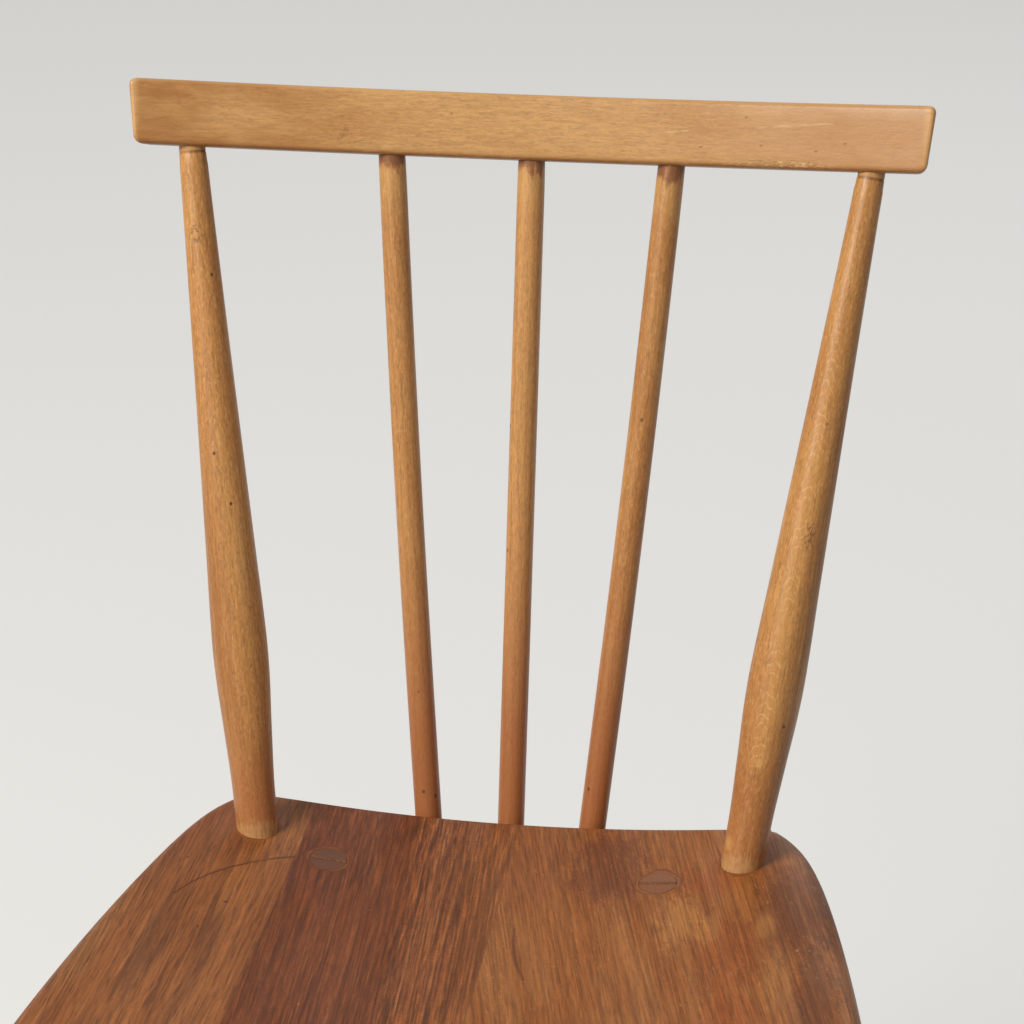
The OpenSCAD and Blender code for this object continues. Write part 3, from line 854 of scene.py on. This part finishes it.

# %% [markdown]
# ## The rail's finish
# The rail is the palest piece, honey coloured and a little pinker to the right. Its left third has
# kept more of the varnish. Its lower arris is painted darker, as painted shade, and a paler band
# along its top arris is a painted highlight. Its ends are pale, partly rubbed wear and partly a
# painted highlight on their rounded arrises. There is a long fine scratch on the right half, a soft
# scuff left of the middle, and a chipped stretch along the lower right edge. On the rail the timber
# frame has Z along it, X through it and Y up it.

# %% Rail material
wood = beech("rail_beech_clear_varnish", "#CB9B60", "#B68246", (-60, 95), 3.0, ring=0.06, flecks=0.21,
             patchy=0.8, streaky=0.08)
tree, fibre, up, along_rail = wood.tree, wood.fibre, wood.y, wood.z
lay(wood, "#94530F", (along_rail, -60, -190), (wood.cloud, 0.2, 0.6), 0.8)
lay(wood, "#B37F4C", (along_rail, 40, 170), 0.6)
# Painted shade: the lower arris is laid darker and browner.
lay(wood, "#87521F", (up, 3.6, 0.4), (fibre, 0.2, 0.6), 0.75)
# Painted highlight: a paler band along the top arris.
lay(wood, "#DDB27A", (up, 30.4, 32.4), 0.35)
from_middle = add(tree, "Math", {"operation": "ABSOLUTE"}, [along_rail])
# The pale band near each end is partly rubbed wear and partly a painted highlight on the rounded end.
lay(wood, "#D9AA70", (from_middle, 193, 197.5), (fibre, 0.15, 0.5), 0.7)
lay(wood, "#AD702E", (from_middle, 196.5, 199.5), 0.6)
print("rail wood:", len(tree.nodes), "nodes")

# %% Rail marks
def on_face(*lines):
    """Scratches on the rail's front face, each (up, along, up, along, width)."""
    face = -RAIL_T / 2
    return most(wood, [scratch(wood, (face, a, b), (face, c, d), width)
                       for a, b, c, d, width in lines])


long_scratch = on_face((15.5, 61, 17.3, 79, 1.3), (19.9, 113, 22.8, 151, 1.5))
lay(wood, "#E6C090", long_scratch, (fibre, 0.3, 0.6), 0.4)
scuff = on_face((6.5, -96.5, 12.5, -93.2, 3.0), (7.6, -94.6, 11, -92, 2.6), (5, -91, 6.4, -84, 1.8))
lay(wood, "#84552C", scuff, (streaks(wood, 1.6, 2.6, 3.0, 17), 0.36, 0.62), 0.5)
splinters = streaks(wood, 1.1, 3.0, 4.0, 71)
chip = mask(wood, oval(wood, (-9.0, 2.7, 126), (6, 2.8, 34), 0.2), (splinters, 0.47, 0.62))
lay(wood, "#DDB47E", chip, 0.7)
lay(wood, "#85552A", oval(wood, (-9.0, 3.6, 128), (6, 1.8, 32), 0.3), (splinters, 0.46, 0.36),
    0.65)
nicks = spots(wood, (3, 0.6, 1.2),
              [(-RAIL_T / 2, y, z) for y, z in ((24.5, 108), (9.0, 143), (13, 157), (9.5, 86),
                                                (11, 116), (21.6, -40))])
lay(wood, "#875A30", nicks, 0.5)
varnish(wood, ["crest_rail"], 0.44, 0.18, marks=most(wood, [chip, nicks]), mark_depth=0.25)
print("rail marked:", len(tree.nodes), "nodes")

# %% [markdown]
# ## The posts' finish
# Both posts are a deeper tan than the rail, and browner towards the foot. Each has a ragged band of
# bare wood where it enters the seat, because varnish wears off there first, and a dark line where
# dirt has gathered under the rail. The left one is browner on the outer side of its swell, and has a
# scuff near its top, four pin knots and a scratch. The right one has painted shade down its outer
# side, dark and brown. It was turned from wood with ray fleck, which shows as a ladder of pale arcs
# up its front. On a post the timber frame has Z up the post, -X to the front and Y to the left.

# %% Post wood
POST_SHAFT = (post_line(1)[1] - post_line(1)[0]).length
DIRT_LINE = POST_SHAFT - 3


def post_wood(name, deep, foot, shift, pith):
    wood = beech(name, "#C69051", deep, pith, shift, ring=0.2, flecks=0.34)
    tree, height = wood.tree, wood.z
    lay(wood, "#96522A", (height, 75, 8), foot)
    scraped = streaks(wood, 2.2, 3.0, 5.0, shift + 61)
    scraped = add(tree, "Math", GAIN, [scraped, -16.0, height])
    lay(wood, "#BE935F", (scraped, -2.0, -7.5), (wood.fibre, 0.2, 0.6), 0.75)
    lay(wood, "#C99C68", (height, DIRT_LINE + 0.4, DIRT_LINE + 1.0), 0.45)
    lay(wood, "#5C3718", (height, DIRT_LINE - 1.2, DIRT_LINE - 0.3),
        (height, DIRT_LINE + 1.2, DIRT_LINE + 0.3), (wood.cloud, 0.25, 0.6), 0.75)
    return wood


print("posts are", round(POST_SHAFT), "mm long from seat to rail")

# %% Left post
wood = post_wood("left_post_beech_clear_varnish", "#BA7F44", 0.62, 40.0, (-34, 22))
tree, height, to_left = wood.tree, wood.z, wood.y
scuff = mask(wood, oval(wood, (-7.4, 3.6, 305), (5, 5.5, 8)),
             (streaks(wood, 1.4, 2.0, 2.0, 9), 0.5, 0.6))
knots = spots(wood, (1.1, 1.1, 1.4),
              [(-8.3, -2.4, 284), (-9.7, 5.5, 194), (-11.9, -0.3, 168), (-13.4, 3.2, 60)])
line = scratch(wood, (-12.5, 5.5, 77.4), (-13.8, -2.8, 85.3), 0.9)
lay(wood, "#8B4E20", (height, 20, 70), (height, 230, 150), (to_left, 1, 11), (wood.streak, 0.1, 0.6),
    0.55)
lay(wood, "#6B4220", most(wood, [scuff, line]), 0.6)
lay(wood, "#3A2415", knots, 0.9)
varnish(wood, ["back_post_left"], 0.42, 0.07, 0.4, marks=most(wood, [scuff, knots, line]))
print("left post:", len(tree.nodes), "nodes")

# %% Right post
wood = post_wood("right_post_beech_clear_varnish", "#AC713A", 0.4, 90.0, (42, -12))
tree, height, to_left = wood.tree, wood.z, wood.y
ray_turn = math.radians(-165)
ray_front, ray_side = [add(tree, "VectorMath", {"operation": "DOT_PRODUCT"}, [wood.place, way], "Value")
                       for way in ((math.cos(ray_turn), math.sin(ray_turn), 0),
                                   (-math.sin(ray_turn), math.cos(ray_turn), 0))]
ray_side = add(tree, "Math", GAIN, [wood.cloud, 3.0, ray_side])
ray_side = add(tree, "Math", {"operation": "SUBTRACT"}, [ray_side, 1.5])
arc = add(tree, "Math", GAIN, [mask(wood, ray_side, ray_side), 0.3, height])
arc = add(tree, "Math", GAIN, [streaks(wood, 7.0, 24, 2.0, 3), 13.0, arc])
arc = add(tree, "Math", {"operation": "PINGPONG"}, [arc, 2.6])
near_front = mask(wood, (ray_side, 5.0, 1.5), (ray_side, -5.0, -1.5), (ray_front, 0, 4),
                  (height, 285, 240), (height, 44, 62))
lay(wood, "#E8C187", (arc, 1.85, 2.45), near_front, (wood.fibre, 0.3, 0.6),
    (streaks(wood, 30, 14, 1.0, 29), 0.36, 0.54), 0.58)
lay(wood, "#D29A58", near_front, 0.3)
# Painted shade: the right post's outer, right-hand side is laid darker and browner.
lay(wood, "#783C12", (to_left, -6, -14), (wood.streak, 0.1, 0.6), 0.5)
lay(wood, "#D6A665", most(wood, [oval(wood, (-11.7, -4.3, 53.3), (4, 2.4, 3.4)),
                                 oval(wood, (-9.6, 5.6, 9), (5, 4.6, 6), 0.1)]), 0.55)
scuff = mask(wood, oval(wood, (-9.3, -7.4, 169), (5, 3.6, 11)),
             (streaks(wood, 1.2, 2.4, 2.0, 19), 0.44, 0.58))
knots = spots(wood, (1.1, 1.1, 1.3), [(-6.7, -11.7, 73.2), (-8.6, 5.2, 262), (-9.0, -6.0, 225)])
lay(wood, "#6B3F1C", scuff, 0.65)
lay(wood, "#3A2415", knots, 0.85)
varnish(wood, ["back_post_right"], 0.42, 0.07, 0.4, marks=most(wood, [scuff, knots]))
print("right post:", len(tree.nodes), "nodes")

# %% [markdown]
# ## The spindles' finish
# The spindles grow redder and darker to the bottom, where polish has built up out of the duster's
# reach, and each has a dark stain with a ragged pale border where it meets the rail.

# %% Spindle materials
head_z = (spindle_line(0)[1] - spindle_line(0)[0]).length
for name, deep, shift, pith, knot_places in (
        ("spindle_left", "#B2783E", 140.0, (25, 12), ((-6.3, 3.1, 20), (-6.2, -3.3, 17), (-6.0, 2, 74))),
        ("spindle_centre", "#C68E53", 171.0, (-18, 30), ((-3, 6.2, 215), (-4, 5.6, 150))),
        ("spindle_right", "#AC7138", 203.0, (20, -28), ((-6.8, 1.7, 27), (-6.5, -2.6, 224)))):
    wood = beech(name + "_beech_clear_varnish", "#C69052", deep, pith, shift, flecks=0.26)
    tree, height = wood.tree, wood.z
    lay(wood, "#9C5831", (height, 195, 15), 0.75)
    ragged = add(tree, "Math", GAIN, [streaks(wood, 5, 8, 3.0, shift + 61), 26.0, height])
    lay(wood, "#6E3A20", (ragged, head_z + 6, head_z + 13), 0.75)
    lay(wood, "#D8AC6C", (ragged, head_z - 16, head_z + 2), (ragged, head_z + 10, head_z + 4), 0.25)
    knots = spots(wood, (1.2, 1.2, 1.6), knot_places)
    lay(wood, "#3E2417", knots, 0.7)
    varnish(wood, [name], 0.42, 0.1, marks=knots)
print("spindle materials ready")

# %% [markdown]
# ## Legs, stretchers and wedges
# The legs and stretchers are the same beech as the posts. Under the seat the varnish is hardly worn,
# so they are plainer, with scuffs from shoes and brooms towards the feet and bare wood where each
# foot has scraped over the floor. The tenons' ends and the wedges show end grain, which soaks up
# stain and dirt, so they are brown.

# %% Leg, stretcher and wedge materials
for k, name in enumerate(LEG_LINES):
    long = (LEG_LINES[name][1] - LEG_LINES[name][0]).length
    wood = beech("leg_" + name + "_beech_clear_varnish", "#C68C4E", "#A96A33",
                 ((-36, 18), (30, 26), (20, -38), (-28, -30))[k], 250.0 + 37 * k, ring=0.3)
    tree, height = wood.tree, wood.z
    lay(wood, "#8A5230", (height, 130, 40), 0.5)
    scuffs = mask(wood, (streaks(wood, 3.0, 5.0, 3.0, 61.0 + k), 0.62, 0.7),
                  (height, long - 190, long - 40))
    lay(wood, "#6A4426", scuffs, 0.6)
    ragged = add(tree, "Math", GAIN, [wood.streak, 14.0, height])
    lay(wood, "#C7A274", (ragged, long - 2, long + 6), 0.8)
    end = mask(wood, (height, 6, 5))
    lay(wood, ("#60331B", "#85502E")[name.endswith("right")], end, 0.94)
    lay(wood, "#59392A", end, (wood.rings, 0.2, 0.8), 0.12)
    varnish(wood, ["leg_" + name], 0.46, 0.0, 0.4, marks=scuffs)
    wood = beech("wedge_" + name + "_beech_end_grain", "#6D3F22", "#633821", (5, 30), 500.0 + k, ring=0.3)
    varnish(wood, ["wedge_" + name], 0.5, 0.0, 0.3)

for k, name in enumerate(("side_stretcher_left", "side_stretcher_right", "cross_stretcher")):
    wood = beech(name + "_beech_clear_varnish", "#C68C4E", "#A96A33", ((18, 30), (-30, 20), (12, -34))[k],
                 420.0 + 23 * k, ring=0.3)
    rub = streaks(wood, 9.0, 40.0, 3.0, 88.0 + k)
    lay(wood, "#D6AC78", (rub, 0.5, 0.62), (wood.fibre, 0.35, 0.6), 0.5)
    varnish(wood, [name], 0.42, 0.28)
print("materials under the seat ready")

# %% [markdown]
# ## The seat's finish
# The seat is four boards of a darker, coarser timber, taken here for elm, stained brown under a
# varnish that is rubbed almost matt. The left board is nut brown with close straight lines. The next
# is the darkest, plum along its left edge, and warms towards the glue line on its right. The two on
# the right are lighter and redder, dark beside the rim and worn to pale patches in the middle. In the
# seat's timber frame X is right, Y is up and Z is back, so X and Z are the plan of the seat.

# %% Stained patches
def patches(wood, shift, places):
    """Lays ragged oval patches, each (hex, x, back, half width, half length, strength)."""
    tree = wood.tree
    scaled = add(tree, "Mapping", {}, {"Vector": wood.grain, "Location": (shift, 0, shift),
                                       "Scale": (1 / 5, 1 / 5, 1 / 11)})
    ragged = add(tree, "TexNoise", {}, {"Vector": scaled, "Scale": 1.0, "Detail": 7.0,
                                        "Roughness": 0.78}, "Fac")
    for colour, x, back, wide, deep, strength in places:
        patch = oval(wood, (x, 0, back), (1.6 * wide, 1000, 1.6 * deep), 0.0)
        patch = add(tree, "Math", GAIN, [patch, 0.42, ragged])
        lay(wood, colour, (patch, 0.62, 0.86), strength)


# %% [markdown]
# ## Elm
# Elm is built like beech, but its rings are bolder, and they may lean across the board where it was
# sawn at a slant. Early wood shows as a pale line beside each dark one. Pores are long dark dashes.
# Threads run the whole board, fibres are short, and a weak weave lies across both. Pores and threads
# of real elm are 0.2 mm wide and are drawn about five times as wide, so that they show.

# %% Elm
def elm(name, light, deep, line_hex, pith, lean, run_out, year, lines, pores, shift, places):
    wood = start_wood(name, light)
    tree = wood.tree
    weave = streaks(wood, 2.2, 0.8, 2.0, rough=0.5)
    leant = add(tree, "Math", GAIN, [wood.z, lean, wood.x])
    wood.grain = add(tree, "CombineXYZ", {}, [leant, wood.y, wood.z])
    wood.place = add(tree, "VectorMath", TIMES, [wood.place, (1, 0, 1)])
    wood.cloud = streaks(wood, 18, 130, 2.5, shift)
    lay(wood, deep, (wood.cloud, 0.34, 0.66))
    patches(wood, shift, places)
    rings = growth(wood, pith, run_out, year, 11.0, shift)
    bold = mask(wood, (streaks(wood, 10, 120, 2.0, shift + 3), 0.38, 0.62, 0.15 * lines,
                       1.15 * lines))
    lay(wood, line_hex, (rings, 0.45, 0.9), (rings, 1.0, 0.93), bold)
    lay(wood, "#B57943", (rings, 0.0, 0.12), (rings, 0.34, 0.14), bold, 0.42)
    wood.pits = mask(wood, (streaks(wood, 1.1, 18, 1.0, shift + 7), 0.54, 0.65))
    lay(wood, line_hex, wood.pits, pores)
    wood.thread = streaks(wood, 1.1, 150, 1.0, shift + 41)
    wood.fibre = streaks(wood, 1.0, 13, 2.0, shift + 31)
    wood.figure = mask(wood, (wood.thread, 0.3, 0.7, 0.8, 1.2), (wood.fibre, 0.28, 0.72, 0.87, 1.13),
                       (weave, 0.35, 0.65, 0.94, 1.06))
    shade(wood, wood.figure)
    return wood


def seat_wear_and_shade(wood, post_x, glue):
    """Dirt round a post, partly painted contact shade, dirt along the glue lines, and a darker underside."""
    if post_x:
        # A dark ring round the post's foot: partly dirt, partly painted contact shade where the post meets
        # the seat.
        ring = oval(wood, (post_x, 0, 0), (14, 1000, 14), 0.72)
        lay(wood, "#4F2B18", ring, (wood.fibre, 0.2, 0.65), 0.5)
    for x in glue:
        lay(wood, "#5A301B", (wood.x, x - 0.6, x - 0.1), (wood.x, x + 0.6, x + 0.1), 0.3)
    # The lowest part of the rim and the underside are laid darker.
    lay(wood, "#6F4427", (wood.y, -24, -31), 0.5)


print("elm helpers ready for", [name for name in pieces if "board" in name])

# %% Left board
wood = elm("left_board_elm_brown_stain", "#965B2E", "#885029", "#57301A", (-150, -55), 0.0, 0.02, 4.6,
           0.38, 0.5, 10.0,
           [("#774122", -143, -6, 26, 46, 0.5), ("#A26732", -108, 4, 12, 34, 0.5),
            ("#6F4425", -150, -130, 10, 55, 0.5), ("#8F6037", -178, -110, 12, 70, 0.6)])
seat_wear_and_shade(wood, -POST_FOOT_X, GLUE_LINES[:1])
gouge = gouge_line(wood, [(-100.6, -22), (-110, -26.5), (-119, -33), (-128, -41), (-137, -51),
                          (-144, -61), (-149.5, -73)], (2.4, 2.4, 2.3, 2.2, 1.9, 1.4))
gouge = mask(wood, gouge, (wood.cloud, 0.15, 0.42))
pits = most(wood, [oval(wood, (x, 0, back), (wide, 1000, deep)) for x, back, wide, deep in
                   ((-123.5, -74, 1.9, 1.3), (-152, -37, 0.9, 0.9), (-164, -24, 1.3, 2.4),
                    (-131, -100, 0.8, 1.5))])
lay(wood, "#4E2A17", gouge, 0.7)
lay(wood, "#3E2414", pits, (wood.fibre, 0.1, 0.5), 0.75)
varnish(wood, ["seat_board_left"], 0.5, 0.0, 0.3, 0.07, most(wood, [gouge, pits]), 0.3)
print("left board:", len(wood.tree.nodes), "nodes")

# %% [markdown]
# ## The dark board
# Its tone changes along a slanting line, which wanders with the threads of the grain. After the two
# tones are laid on, the figure is shaded in once more, because the tones have covered some of it.

# %% Dark board
wood = elm("dark_board_elm_brown_stain", "#884D25", "#79421F", "#4C2613", (52, -30), 0.06, 0.03, 6.0,
           0.5, 0.5, 55.0, [("#62311E", -84, -20, 22, 50, 0.5), ("#7E492C", -64, -150, 24, 70, 0.4)])
tree = wood.tree
border = add(tree, "VectorMath", {"operation": "DOT_PRODUCT"}, [wood.place, (1, 0, 0.0765)], "Value")
border = add(tree, "Math", GAIN, [wood.thread, -14.0, border])
lay(wood, "#683215", (border, -49.0, -56.0), 0.6)
lay(wood, "#995F32", (border, -42.0, 2.0), 0.36)
shade(wood, wood.figure)
seat_wear_and_shade(wood, None, GLUE_LINES[:2])
specks = spots(wood, (0.7, 1000, 0.9), [(-70, 0, -152), (-34, 0, -168), (-55, 0, -61)])
lay(wood, "#CDAC80", specks, (wood.fibre, 0.4, 0.6), 0.7)
varnish(wood, ["seat_board_mid_left"], 0.5, 0.0, 0.3, 0.07)
print("dark board:", len(tree.nodes), "nodes")

# %% Right boards
wood = elm("right_boards_elm_brown_stain", "#9E6331", "#8E5225", "#633619", (-70, -34), 0.22, 0.02, 7.0,
           0.24, 0.36, 93.0,
           [("#703D23", 58, -8, 26, 52, 0.8), ("#8A502C", 20, -12, 20, 50, 0.6),
            ("#B57A42", 98, -54, 15, 30, 0.7), ("#A56937", 36, -84, 24, 60, 0.4),
            ("#924820", 124, -90, 22, 46, 0.45), ("#984920", 112, -18, 16, 20, 0.4),
            ("#B27842", 148, -106, 10, 34, 0.5), ("#9C4A20", 128, -150, 18, 28, 0.35),
            ("#5A311D", 155, -46, 24, 60, 0.6), ("#5C341D", 167, -125, 13, 60, 0.6),
            ("#B57C42", 112, -64, 7, 18, 0.5), ("#B57C42", 140, -62, 6, 16, 0.5)])
lay(wood, "#C0884D", (streaks(wood, 1.3, 4.5, 3.0, 7.0), 0.6, 0.7),
    (streaks(wood, 26, 40, 2.0, 77.0), 0.45, 0.6), 0.5)
seat_wear_and_shade(wood, POST_FOOT_X, GLUE_LINES[1:2])
gouge = gouge_line(wood, [(18.4, -66), (19.3, -76), (21.4, -88), (24.7, -100), (29, -112)],
                   (1.5, 2.2, 3.0, 2.2))
gouge = mask(wood, gouge, (wood.fibre, 0.15, 0.5))
lay(wood, "#633522", gouge, 0.7)
specks = spots(wood, (0.7, 1000, 1.2), [(133.5, 0, -30), (156, 0, -83), (129, 0, -9)])
lay(wood, "#D8AC76", specks, (wood.fibre, 0.4, 0.6), 0.6)
varnish(wood, ["seat_board_mid_right", "seat_board_right"], 0.5, 0.0, 0.3, 0.07, gouge, 0.3)
print("right boards:", len(wood.tree.nodes), "nodes")
